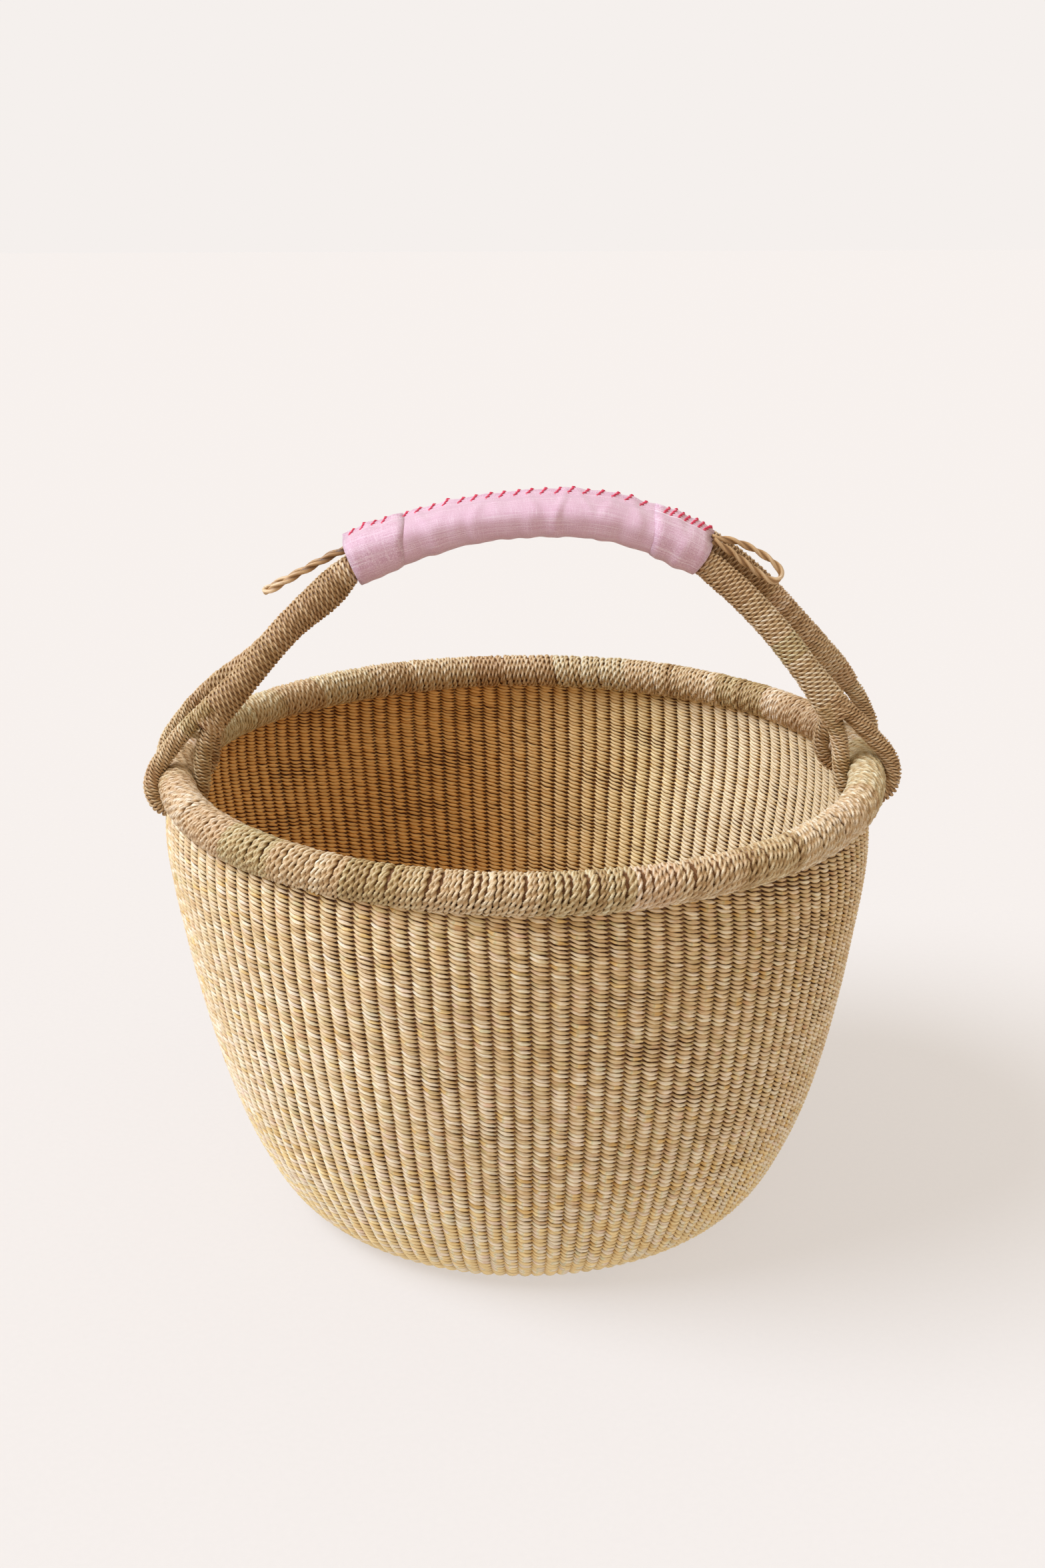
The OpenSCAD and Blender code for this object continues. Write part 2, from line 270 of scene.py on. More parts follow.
def add_bump(nodes, links, shader, height, strength, distance):
    bump = nodes.new("ShaderNodeBump")
    bump.inputs["Strength"].default_value = strength
    bump.inputs["Distance"].default_value = distance
    links.new(height, bump.inputs["Height"])
    links.new(bump.outputs[0], shader.inputs["Normal"])


# How fine the fibres and the blotches are along a straw and round it.
streak_scale = (0.12, 2.6, 2.6)
blotch_scale = (0.16, 0.3, 0.3)
blotch_share = 0.3
fibre_depth = 0.0003
# Tints by half the hue. Hues up to 1 run from pinkish to greenish, and higher ones are golden.
straw_tints = [(0.0, srgb(248, 226, 220)), (0.17, srgb(254, 247, 242)),
               (0.32, srgb(254, 252, 244)), (0.5, srgb(234, 238, 214)),
               (0.58, srgb(255, 245, 224)), (0.68, srgb(254, 239, 196)),
               (1.0, srgb(255, 214, 146))]
fibre_shades = [(0.3, (0.42, 0.34, 0.26, 1)), (0.5, (0.92, 0.9, 0.88, 1)),
                (0.72, (1.2, 1.2, 1.18, 1))]


def grass_material(name, stops, streak=0.35, roughness=0.6):
    """Split grass straw: fibres along the straw, and a colour that changes from straw to straw.
    stops are its colours from the lowest tone to the highest. Its tone and hue also carry painted
    shade and painted light."""
    material, nodes, links, shader = new_material(name)
    fibre = nodes.new("ShaderNodeAttribute")
    fibre.attribute_name = "fibre"
    tone = nodes.new("ShaderNodeAttribute")
    tone.attribute_name = "tone"
    hue = nodes.new("ShaderNodeAttribute")
    hue.attribute_name = "hue"
    streaks = noise(nodes, links, stretched(nodes, links, fibre.outputs["Vector"],
                                            streak_scale), 1.0, 4)
    blotches = noise(nodes, links, stretched(nodes, links, fibre.outputs["Vector"],
                                             blotch_scale), 1.0, 2)
    ramp = colour_ramp(nodes, stops)
    total = nodes.new("ShaderNodeMath")
    total.operation = "MULTIPLY_ADD"
    links.new(blotches, total.inputs[0])
    total.inputs[1].default_value = blotch_share
    shifted = nodes.new("ShaderNodeMath")
    shifted.operation = "SUBTRACT"
    links.new(tone.outputs["Fac"], shifted.inputs[0])
    shifted.inputs[1].default_value = blotch_share / 2
    links.new(shifted.outputs[0], total.inputs[2])
    links.new(total.outputs[0], ramp.inputs[0])
    tint = colour_ramp(nodes, straw_tints)
    halved = nodes.new("ShaderNodeMath")
    halved.operation = "MULTIPLY"
    halved.inputs[1].default_value = 0.5
    links.new(hue.outputs["Fac"], halved.inputs[0])
    links.new(halved.outputs[0], tint.inputs[0])
    coloured = mixed(nodes, links, "MULTIPLY", 1.0, ramp.outputs[0], tint.outputs[0])
    dark_light = colour_ramp(nodes, fibre_shades)
    links.new(streaks, dark_light.inputs[0])
    final = mixed(nodes, links, "MULTIPLY", streak, coloured, dark_light.outputs[0])
    links.new(final, shader.inputs["Base Color"])
    shader.inputs["Roughness"].default_value = roughness
    shader.inputs["Specular IOR Level"].default_value = 0.6
    shader.inputs["Sheen Weight"].default_value = 0.06
    shader.inputs["Sheen Roughness"].default_value = 0.4
    add_bump(nodes, links, shader, streaks, 0.5, fibre_depth)
    return material


wall_grass = grass_material("wall_grass", [
    (0.0, srgb(134, 94, 50)), (0.3, srgb(182, 145, 93)), (0.55, srgb(210, 178, 126)),
    (0.8, srgb(230, 207, 166)), (1.0, srgb(246, 236, 216))], streak=0.6, roughness=0.5)
cord_grass = grass_material("cord_grass", [
    (0.0, srgb(104, 72, 42)), (0.3, srgb(160, 122, 78)), (0.55, srgb(200, 166, 122)),
    (0.8, srgb(228, 204, 168)), (1.0, srgb(248, 236, 216))], streak=0.6, roughness=0.5)
# Painted shade: the stakes and the stems between them show only through gaps in the weave, and
# their dark colour stands for the shade there.
dark_stem_painted_shade = grass_material("dark_stem_painted_shade", [
    (0.0, srgb(70, 40, 20)), (0.5, srgb(104, 66, 36)), (1.0, srgb(140, 98, 58))])


plain_streak_scale = (900, 900, 260)


def plain_grass_material(name, dark, light):
    """Straw for carried-over parts, with fibres laid by the object's own coordinates."""
    material, nodes, links, shader = new_material(name)
    place = nodes.new("ShaderNodeTexCoord")
    streaks = noise(nodes, links, stretched(nodes, links, place.outputs["Object"],
                                            plain_streak_scale), 1.0, 4)
    ramp = colour_ramp(nodes, [(0.3, dark), (0.7, light)])
    links.new(streaks, ramp.inputs[0])
    links.new(ramp.outputs[0], shader.inputs["Base Color"])
    shader.inputs["Roughness"].default_value = 0.7
    add_bump(nodes, links, shader, streaks, 0.4, fibre_depth)
    return material


# ---- tie loops ----

left_tie_route = [
    (-94, -5.2, 370.6), (-101.5, -5.6, 367.4), (-107, -6.2, 364.6), (-114, -7, 361),
    (-121, -7.8, 357.4), (-128, -8.2, 353.4), (-133.5, -7.4, 350.2), (-137, -4.6, 348.4),
    (-137.6, -1.6, 348.4), (-134.6, 0.6, 350), (-128.5, 0.8, 353), (-121, 0.2, 356.8),
    (-114, -0.4, 360.6), (-107, -1, 364.4), (-101.5, -1.2, 367.2), (-94, -1.2, 370.4)]
right_tie_route = [
    (102, -7.4, 374), (109, -7.4, 369.6), (114, -7, 366), (119, -6.4, 362),
    (124, -5.6, 358.2), (128.5, -4.8, 354.8), (133, -3.8, 351.8), (137.5, -2.8, 350.4),
    (140.6, -2, 352.6), (139.8, -1.6, 356.4), (135.6, -1.4, 360.8), (130, -1.4, 364.8),
    (124, -1.7, 368.2), (117.5, -2, 371.2), (111, -2.2, 373), (102, -2.4, 374.4)]
tie_radius = 2.1
tie_lay = 21
tie_step = 0.7
tie_sides = 16
tie_hue = 0.4
# The depth of the tie cord's painted shade between its plies.
tie_painted_groove_shade = 0.5
curve_steps = 12


def tie_loop(name, route, body, seed, root_tone, tip_tone):
    """A loop of twisted cord. Its tone changes from its roots to its tip."""
    path = even(smooth(route, curve_steps), tie_step)
    along = unit(np.gradient(path, axis=0))
    sideways = np.where(np.abs(along[:, 1:2]) > 0.9, [[1.0, 0, 0]], [[0, 1.0, 0]])
    out = np.cross(sideways, along)
    s = lengths(path)
    middle = np.sin(np.pi * s / s[-1]) ** 2
    bundle = Bundle(seed)
    # The cord carries painted shade between its plies.
    bundle.add(two_ply(path, out, tie_radius, tie_lay, tie_sides), s,
               root_tone + (tip_tone - root_tone) * middle, tie_hue,
               shade=ply_painted_shade(tie_sides, tie_painted_groove_shade))
    piece = bundle.build(name, cord_grass, body, [body + "_loop"])


tie_loop("left_tie_cord", left_tie_route, "left_tie", 1, 0.35, 0.85)
tie_loop("right_tie_cord", right_tie_route, "right_tie", 2, 0.6, 0.8)


# ---- body weave ----

# Outside line of base and wall as (radius, height), from the base's middle to the rim.
body_line = [
    (26, 0), (60, 0), (95, 0), (116, 0), (124, 0.4), (131, 2.4), (138, 6.4), (145, 14),
    (151, 24), (157, 37), (164, 54), (170, 72), (176, 94), (181.5, 119), (186, 143),
    (189.5, 166), (193, 190), (195, 212), (194.6, 228), (192.5, 245)]
# The wall's middle lies this far inside its outside line, and straws swing to both sides of it.
mid_depth = 3.3
swing_out = 2.0
stake_count = 128
base_stake_count = 64
straw_half = 0.95
# Corners of a straw's section, with 0 outermost and 90 its lower edge, and the painted shade of
# each, added to its tone. The lower edge is painted dark as the shade between rows, so that the
# rows stand apart, and the outermost and innermost corners get a slight painted highlight.
straw_angles = np.radians([-68, 4, 62, 118, 176, 248])
straw_painted_shade = np.array([0.02, 0.08, -0.5, -0.5, 0.08, 0.02])

outline = even(smooth(body_line, curve_steps), 0.5)
outline_s = lengths(outline)
outline_along = unit(np.gradient(outline, axis=0))
outline_in = np.stack([-outline_along[:, 1], outline_along[:, 0]], axis=1)
middle_line = outline + mid_depth * outline_in
base_radius = 124
base_end_s = float(np.interp(base_radius, outline[:, 0], outline_s))
lean_heights = [0, 40, 120, 200, 236, 260]
lean_shifts = [1.5, 1.0, 0.0, -1.2, -2.6, -1.5]
# Sizes of the wall's slow bulges, three and five to a round.
three_bulges = 0.5
five_bulges = 0.4


def lean_x(z):
    """How far the woven body is pushed off its axis along X at height z."""
    return np.interp(z, lean_heights, lean_shifts)


def body_point(s, theta, off):
    """A point off millimetres outside the wall's middle, and the outward direction there."""
    r, z = (np.interp(s, outline_s, middle_line[:, k]) for k in (0, 1))
    nr, nz = (-np.interp(s, outline_s, outline_in[:, k]) for k in (0, 1))
    bulge = three_bulges * np.sin(3 * theta + s / 60) + five_bulges * np.sin(5 * theta - s / 37)
    r = r + nr * off + bulge * np.clip((s - base_end_s) / 60, 0, 1)
    z = np.maximum(z + nz * off, 0)
    c, d = np.cos(theta), np.sin(theta)
    point = np.stack([r * c + lean_x(z), r * d, z], axis=-1)
    return point, np.stack([nr * c, nr * d, nz], axis=-1)


# One straw lasts this many stitches, and a stitch's tone differs a little from its straw's.
stitches_in_straw = (5, 26)
tone_spread = 0.07


def straw_tones(rng, stitches, low, high):
    """A tone for each stitch: one straw lasts a while, then the next one has its own."""
    values = np.empty(stitches)
    at = 0
    while at < stitches:
        run = int(rng.integers(*stitches_in_straw))
        values[at:at + run] = rng.uniform(low, high)
        at += run
    return values + rng.normal(0, tone_spread, stitches)


pitch_places = [0, base_end_s, base_end_s + 60, base_end_s + 170, outline_s[-1]]
pitches = [3.5, 3.3, 2.95, 2.5, 2.2]


def row_pitch(s):
    """Distance between rows: they lie closer together towards the rim."""
    return np.interp(s, pitch_places, pitches)


def row_starts(first, last):
    starts = [first]
    while starts[-1] + row_pitch(starts[-1]) < last:
        starts.append(starts[-1] + float(row_pitch(starts[-1])))
    return starts


# How far a row waves up and down, four and nine times to a round, and how far rows are pushed
# round the wall.
four_waves = 0.5
nine_waves = 0.35
slow_push = 0.16
quick_push = 0.1
push_radius = 190
# A straw crosses from outside to inside on a slant, and hangs between the crossings. These are
# shares of the distance between rows, as are a straw's half width at a crossing and what the
# half width gains at full swing.
slant = 0.16
steep_slant = 0.44
sag_share = 0.2
crossing_width = 0.15
width_gain = 0.36
# Below 1, a straw stays longer at full swing.
swing_power = 0.6
# The points crowd where the straws cross, because a straw bends most there.
crowding = 0.35
# Spreads of a stitch's height and of its fullness. A loose stitch is narrower.
slack_spread = 0.17
fuller_spread = 0.08
loose_above = 0.72
loose_loss = 0.2
# Painted shade: a straw is painted darker where it dives between the stakes, where shade falls.
dive_painted_shade = 0.3
# Low on the wall, more of the straws are golden.
golden_most = 0.9
golden_least = 0.04
golden_fade = 130
golden_hue = 1.22
# Inside, the straw is golden and a little paler. The golden hue is partly the inner straw's own
# and partly stands for the warm light bounced round the inside: painted bounce light. On the side
# towards +X, where the sun falls on the inside, the straw is painted paler still: painted light.
inside_golden_and_bounce_hue = 1.9
inside_lift = 0.28
painted_light_hue_drop = 0.75
painted_light_lift = 0.14


def twined_row(bundle, start_s, stakes, samples, tone_range):
    """Two straws, each passing outside every second stake, climbing one row in one round."""
    n = stakes * samples
    step = np.arange(n + 1)
    theta = 2 * np.pi * (step + crowding * np.sin(2 * np.pi * step / samples)) / n
    pitch = float(row_pitch(start_s))
    rise = pitch * theta / (2 * np.pi)
    wave_row = (four_waves * np.sin(4 * theta + start_s / 23)
                + nine_waves * np.sin(9 * theta + start_s / 11))
    settle = np.clip((start_s - base_end_s) / 50, 0, 1)
    sideways = slow_push * np.sin(start_s / 31) + quick_push * np.sin(start_s / 7.3 + 1)
    loose = np.sin(3 * theta + start_s / 9) * np.sin(7 * theta - start_s / 13) > loose_above
    golden_share = np.clip(golden_most - (start_s - base_end_s) / golden_fade,
                           golden_least, golden_most)
    # Painted light: how far a place lies on the side towards +X, where the sun falls on the
    # inside.
    painted_light_side = np.clip(1.4 * np.cos(theta) + 0.1, 0, 1)
    for straw in (0, 1):
        phase = stakes * theta / 2 + np.pi * straw
        out_share = np.cos(phase)
        off = swing_out * sharpened(out_share, swing_power)
        tilt = -pitch * (slant * np.sin(phase) + steep_slant * np.sin(phase) ** 3)
        sag = sag_share * pitch * (0.5 - np.abs(out_share))
        slack, fuller = (np.repeat(bundle.random.normal(0, spread, stakes + 1), samples)[: n + 1]
                         for spread in (slack_spread, fuller_spread))
        s = start_s + rise + settle * wave_row + tilt + sag + slack * np.abs(out_share)
        point, out = body_point(s, theta + settle * sideways / push_radius, off)
        tone = np.repeat(straw_tones(bundle.random, stakes + 1, *tone_range), samples)[: n + 1]
        hue = np.clip(bundle.random.normal(0.5, 0.15, stakes + 1), 0, 1)
        golden = bundle.random.random(stakes + 1) < golden_share
        hue = np.repeat(np.where(golden, golden_hue + 0.3 * hue, hue), samples)[: n + 1]
        # Inside, a golden hue, partly painted bounce light, paled towards +X as painted light.
        hue = np.where(out_share < 0, inside_golden_and_bounce_hue - painted_light_hue_drop * painted_light_side + 0.1 * hue, hue)
        # Inside, the tone is lifted, and lifted more towards +X as painted light.
        inside = np.clip(-out_share, 0, 1)
        # Painted shade where the straw dives between the stakes.
        dive_shade = dive_painted_shade * (1 - np.abs(out_share)) ** 2
        tone = tone + (inside_lift + painted_light_lift * painted_light_side) * inside - dive_shade
        width = (pitch * (crossing_width + width_gain * np.abs(out_share)) * (1 + fuller)
                 * (1 - loose_loss * loose))
        # Each straw carries painted shade on its lower edge and a slight painted highlight.
        bundle.add(tube(point, out, straw_half, width, straw_angles), lengths(point), tone, hue,
                   shade=straw_painted_shade)


stake_rings = 60
stake_sides = 6


def stake(bundle, theta, s0, s1, half_out, half_side):
    """A stem in the wall's or the base's middle, from s0 to s1 along the outline."""
    s = np.linspace(s0, s1, stake_rings)
    point, out = body_point(s, np.full(stake_rings, theta), np.zeros(stake_rings))
    bundle.add(tube(point, out, half_out, half_side, round_angles(stake_sides)), s,
               bundle.random.uniform(0.3, 0.7))


first_base_row = 6
base_tones = (0.65, 0.9)
base_bundle = Bundle(10)
for start in row_starts(first_base_row, base_end_s - 3):
    twined_row(base_bundle, start, base_stake_count, 8, base_tones)
base_bundle.build("base_weave", wall_grass, "basket",
                  ["base_weave_under", "base_weave_upper"])

# The lowest tone of the wall's straws, which is paler low down, and the range above it.
wall_tone_places = [base_end_s, base_end_s + 90, outline_s[-1]]
wall_tones = [1.08, 0.77, 0.62]
wall_tone_range = 0.24
wall_starts = row_starts(base_end_s, outline_s[-1] - 2)
rows_in_band = 8
wall_nodes = [zone + "_weave_" + face for zone in ("corner", "lower", "upper")
              for face in ("outside", "inside")]
for band, first in enumerate(range(0, len(wall_starts), rows_in_band)):
    wall_bundle = Bundle(20 + band)
    for start in wall_starts[first:first + rows_in_band]:
        low_tone = float(np.interp(start, wall_tone_places, wall_tones))
        twined_row(wall_bundle, start, stake_count, 6, (low_tone, low_tone + wall_tone_range))
    wall_bundle.build("wall_weave_band_%d" % (band + 1), wall_grass, "basket",
                      wall_nodes if band == 0 else [])

# Between two stakes, a thinner stem closes the gap that would let light through.
# These stems are dark as painted shade in the gaps.
stake_bundle = Bundle(40)
for i in range(stake_count):
    for place, half_out, half_side in ((i, 1.2, 3), (i + 0.5, 0.7, 2.9)):
        stake(stake_bundle, 2 * np.pi * place / stake_count, base_end_s - 4, outline_s[-1],
              half_out, half_side)
stake_bundle.build("wall_stake_straws", dark_stem_painted_shade, "basket", ["wall_stakes"])

base_stake_bundle = Bundle(41)
for i in range(2 * base_stake_count):
    stake(base_stake_bundle, np.pi * (i + 0.5) / base_stake_count, 6, base_end_s, 1.2, 1.5)
for i in range(base_stake_count):
    stake(base_stake_bundle, 2 * np.pi * i / base_stake_count, 40, base_end_s, 0.9, 2.6)
base_stake_bundle.build("base_stake_straws", dark_stem_painted_shade, "basket", ["base_stakes"])


# ---- rim ----

rim_radius = 189.4
rim_height = 248
roll_radius = 10.6
wrap_radius = 1.65
wrap_count = 460
wrap_samples = 56
rim_lay = 9
# The depth of the painted shade between a cord's plies, on the rim and on the handle.
painted_groove_shade = 0.4
# A wrap's lean round the rim in radians, and how it differs from wrap to wrap.
wrap_lean = 0.014
wrap_lean_spread = 0.003
# How uneven the roll is, from wrap to wrap, in slow swellings and in height.
roll_spread = 0.14
roll_swell = 0.25
rim_wave = 0.5
# One length of straw cord lasts this many turns.
turns_in_band = (3, 19)


def bands(rng, count, low, high):
    """A tone and a hue for each turn of a cord. They change together every few turns."""
    tones = np.empty(count)
    hues = np.empty(count)
    at = 0
    while at < count:
        run = int(rng.integers(*turns_in_band))
        tones[at:at + run] = rng.uniform(low, high)
        hues[at:at + run] = np.clip(rng.normal(0.6, 0.14), 0.15, 0.9)
        at += run
    return tones + rng.normal(0, tone_spread, count), hues


def rim_wraps(name, first, last, total_tones, total_hues, places, replaced):
    """The turns of cord round the rim from number first up to number last."""
    bundle = Bundle(60 + first)
    rng = bundle.random
    alpha = 2 * np.pi * np.arange(wrap_samples) / wrap_samples
    for k in range(first, last):
        theta_k = places[k]
        tilt = wrap_lean + rng.normal(0, wrap_lean_spread)
        theta = theta_k + tilt * np.sin(alpha + 0.4)
        reach = ((roll_radius - wrap_radius) + rng.normal(0, roll_spread)
                 + roll_swell * np.sin(7 * theta_k))
        r = rim_radius + reach * np.cos(alpha)
        z = rim_height + reach * np.sin(alpha) + rim_wave * np.sin(2 * theta_k + 1)
        point = np.stack([r * np.cos(theta), r * np.sin(theta), z], axis=1)
        out = np.stack([np.cos(alpha) * np.cos(theta), np.cos(alpha) * np.sin(theta),
                        np.sin(alpha)], axis=1)
        closed = np.vstack([point, point[:1]])
        turns = max(1, round(lengths(closed)[-1] / rim_lay))
        lay = lengths(closed)[-1] / turns
        rings = two_ply(closed, np.vstack([out, out[:1]]), wrap_radius * rng.uniform(0.95, 1.08),
                        lay, 8, rng.uniform(0, 6.28))
        # Each turn carries painted shade between its plies.
        bundle.add(rings[:-1], lengths(closed)[:-1], total_tones[k], total_hues[k], closed=True,
                   shade=ply_painted_shade(8, painted_groove_shade))
    bundle.build(name, cord_grass, "basket", replaced)


rim_random = np.random.default_rng(55)
rim_tones, rim_hues = bands(rim_random, wrap_count, 0.72, 1.0)
rim_steps = rim_random.uniform(0.9, 1.1, wrap_count)
rim_places = 2 * np.pi * np.cumsum(rim_steps) / np.sum(rim_steps)
third = wrap_count // 3
rim_wraps("rim_wraps_1", 0, third, rim_tones, rim_hues, rim_places, ["rim_wrap"])
rim_wraps("rim_wraps_2", third, 2 * third, rim_tones, rim_hues, rim_places, [])
rim_wraps("rim_wraps_3", 2 * third, wrap_count, rim_tones, rim_hues, rim_places, [])


# ---- handle strands ----

# The strands lie side by side down to part_z, and then part towards their feet at fork_z.
foot_y = 27
grip_half_y = 6.8
part_z = 368
fork_z = 280
arch_steps = 10
front_arch = [
    (-172, 280), (-163, 290), (-150, 303.5), (-137, 318.5), (-123, 333.5), (-110, 345.5),
    (-92, 361), (-74, 370), (-60, 375), (-22, 384.5), (18, 387), (50, 383), (77, 374),
    (98.5, 361.5), (107, 354.5), (118, 345), (136, 326.5), (152, 306.5), (160, 296),
    (172, 280)]
rear_arch = [
    (-172, 280), (-163, 289.5), (-150, 300.5), (-136, 313.5), (-122, 328.5), (-109, 342),
    (-92, 358.5), (-74, 368.5), (-60, 375), (-22, 386), (18, 390.5), (50, 388.5),
    (77, 381.5), (98.5, 371), (112, 362), (125.8, 350.6), (139.3, 337.6), (152.3, 323.2),
    (166, 308), (176, 296), (184, 283)]


def strand_line(arch, side):
    """A strand's middle line. side is -1 for the front strand and 1 for the rear one."""
    points = [(x, side * (grip_half_y + (foot_y - grip_half_y)
                          * max(0, (part_z - z) / (part_z - fork_z))), z) for x, z in arch]
    return smooth(points, arch_steps)


def wound(bundle, line, half_up, half_side, pitch, cord_radius, tones, lay, samples):
    """A cord wound round a line in a tight helix. half_up and half_side give the outside."""
    s = lengths(line)
    turns = s[-1] / pitch
    count = int(turns * samples)
    turn = np.linspace(0, turns, count)
    at = turn * pitch
    centre, along, up_size, side_size = (
        np.stack([np.interp(at, s, v[:, k]) for k in range(v.shape[1])], axis=1)
        for v in (line, unit(np.gradient(line, axis=0)),
                  np.reshape(half_up, (-1, 1)), np.reshape(half_side, (-1, 1))))
    up = unit(np.stack([-along[:, 2], np.zeros(count), along[:, 0]], axis=1))
    side = np.cross(up, along)
    angle = 2 * np.pi * turn
    a = (up_size - cord_radius) * np.cos(angle)[:, None]
    b = (side_size - cord_radius) * np.sin(angle)[:, None]
    point = centre + a * up + b * side
    out = unit(np.cos(angle)[:, None] * up + np.sin(angle)[:, None] * side)
    turn_index = np.minimum(turn.astype(int), len(tones[0]) - 1)
    # The wound cord carries painted shade between its plies.
    bundle.add(two_ply(point, out, cord_radius, lay, 8), lengths(point),
               tones[0][turn_index], tones[1][turn_index], shade=ply_painted_shade(8, painted_groove_shade))


def cored(bundle, line, half_up, half_side):
    """A dark core along a line, so that no light passes between the turns round it. Its dark tone
    is painted shade in the gaps between the turns.
    """
    along = unit(np.gradient(line, axis=0))
    up = unit(np.stack([-along[:, 2], np.zeros(len(line)), along[:, 0]], axis=1))
    bundle.add(tube(line, up, half_up, half_side, round_angles(12)), lengths(line), 0.2)


# The wound stretches start inside the sleeve's two ends, where the strands are squeezed.
left_start_x = -82
right_start_x = 90
strand_radius = 8.2
squeezed_radius = 6.4
squeeze_end_x = 88
squeeze_length = 14
strand_pitch = 2.2
strand_cord_radius = 1.25
strand_lay = 8.5
core_depth = 1.3
# Above its fork, a strand grows in the plane of the arch and narrows across it.
fork_length = 24
fork_growth = 2.2
fork_loss = 2.4
# Where a strand is thicker: place along X, extra radius and spread.
front_bulge = (-105, 1.5, 14)
rear_bulge = (163, 2.4, 14)
# A thicker place also hangs below the line and inside it, by these shares of the extra radius.
bulge_drop = 0.8
bulge_shift = 0.5


def strand_wraps(name, arch, side, seed, bulge, replaced):
    """The cord wound round a strand, on both sides of the sleeve."""
    line = strand_line(arch, side)
    bundle = Bundle(seed)
    place, extra, spread = bulge
    for part in (line[line[:, 0] < left_start_x], line[line[:, 0] > right_start_x]):
        part = even(part, 1.5)
        fork = np.clip((fork_z + fork_length - part[:, 2]) / fork_length, 0, 1)
        squeeze = np.clip((np.abs(part[:, 0]) - squeeze_end_x) / squeeze_length, 0, 1)
        thick = extra * np.exp(-((part[:, 0] - place) / spread) ** 2)
        radius = squeezed_radius + (strand_radius - squeezed_radius) * squeeze + thick
        part[:, 2] -= bulge_drop * thick
        part[:, 0] -= bulge_shift * thick * np.sign(place)
        half_up = radius + fork_growth * fork
        half_side = radius - fork_loss * fork
        cored(bundle, part, half_up - core_depth, half_side - core_depth)
        wound(bundle, part, half_up, half_side, strand_pitch, strand_cord_radius,
              bands(bundle.random, 90, 0.58, 0.95), strand_lay, samples=52)
    bundle.build(name, cord_grass, "basket", replaced)


strand_wraps("front_strand_cord", front_arch, -1, 70, front_bulge, ["front_strand_wrap"])
strand_wraps("rear_strand_cord", rear_arch, 1, 71, rear_bulge, ["rear_strand_wrap"])


# ---- legs ----

# Routes as (distance from the middle along X, height), from the strand down round the rim.
outer_leg = [
    (166, 292.5), (176, 283.5), (183.5, 276), (191, 268), (197.6, 260.5), (201.4, 253.5),
    (202.6, 246.5), (201, 239.5), (197, 235.5), (192.5, 234.5)]
inner_leg = [
    (161.5, 288), (168, 278.5), (171, 271), (172.8, 264), (173.6, 256), (174, 249), (175.4, 243),
    (178.5, 238), (184, 235)]
# The rear right foot stands further out above shift_low_z.
rear_right_shift = 12
shift_low_z = 252
# The left outer legs lie closer in where they pass over the rim.
left_tuck = 2
tuck_from_x = 190
tuck_top_z = 276
tuck_height = 16
leg_radius = 5.2
leg_core_radius = 3.6
leg_pitch = 2.05
leg_cord_radius = 1.15
leg_lay = 7.5


def share(value, start, size):
    """0 up to start, 1 from start + size, and in proportion between them."""
    return min(1, max(0, (value - start) / size))


def leg_wraps(name, route, side, row, seed):
    """One leg. side is -1 on the left and 1 on the right, row is -1 in front and 1 behind."""
    points = []
    for x, z in route:
        shift = 0
        if side > 0 and row > 0:
            shift = rear_right_shift * share(z, shift_low_z, fork_z - shift_low_z)
        tuck = 0
        if side < 0 and x > tuck_from_x:
            tuck = left_tuck * share(-z, -tuck_top_z, tuck_height)
        points.append((side * (x + shift - tuck), row * foot_y, z))
    line = even(smooth(points, arch_steps), 1.0)
    bundle = Bundle(seed)
    radius = np.full(len(line), leg_radius)
    cored(bundle, line, leg_core_radius, leg_core_radius)
    wound(bundle, line, radius, radius, leg_pitch, leg_cord_radius,
          bands(bundle.random, 60, 0.6, 0.9), leg_lay, samples=38)
    node = ("rear" if row > 0 else "front") + ("_right" if side > 0 else "_left") + name
    bundle.build(node + "_cord", cord_grass, "basket", [node])


for leg_index, (leg_row, leg_side) in enumerate(((-1, -1), (-1, 1), (1, -1), (1, 1))):
    leg_wraps("_outer_leg", outer_leg, leg_side, leg_row, 80 + 2 * leg_index)
    leg_wraps("_inner_leg", inner_leg, leg_side, leg_row, 81 + 2 * leg_index)


# ---- grip ----

sleeve_line = smooth([
    (-104, 356.6), (-91, 363.3), (-73, 370.6), (-58, 375.8), (-37, 382), (-23, 384.7),
    (-8, 386.6), (6, 387.6), (20, 388), (34, 387.3), (48, 385.2), (63, 381.1), (77, 375.8),
    (92, 368.8), (98.6, 364.8), (112, 355)], curve_steps)
sleeve_slope = np.gradient(sleeve_line[:, 1], sleeve_line[:, 0])
mouth_left_x = -87.8
mouth_right_x = 96.8
# The grip's section leans forward more and more to the right, and is taller at the left.
grip_tilt_x = [-91, -40, 18, 60, 98]
grip_tilts = [0, 5, 11, 14, 15]
grip_height_x = [-91, -60, -20, 98]
grip_half_heights = [11.5, 10.2, 9, 9.1]
grip_half_width = 16.6
# The section is an oval with flat sides: 2 would make it a plain ellipse.
section_power = 3
# Where the seam's ridge lies, as an angle from the section's top to the rear.
ridge_at = math.radians(16)


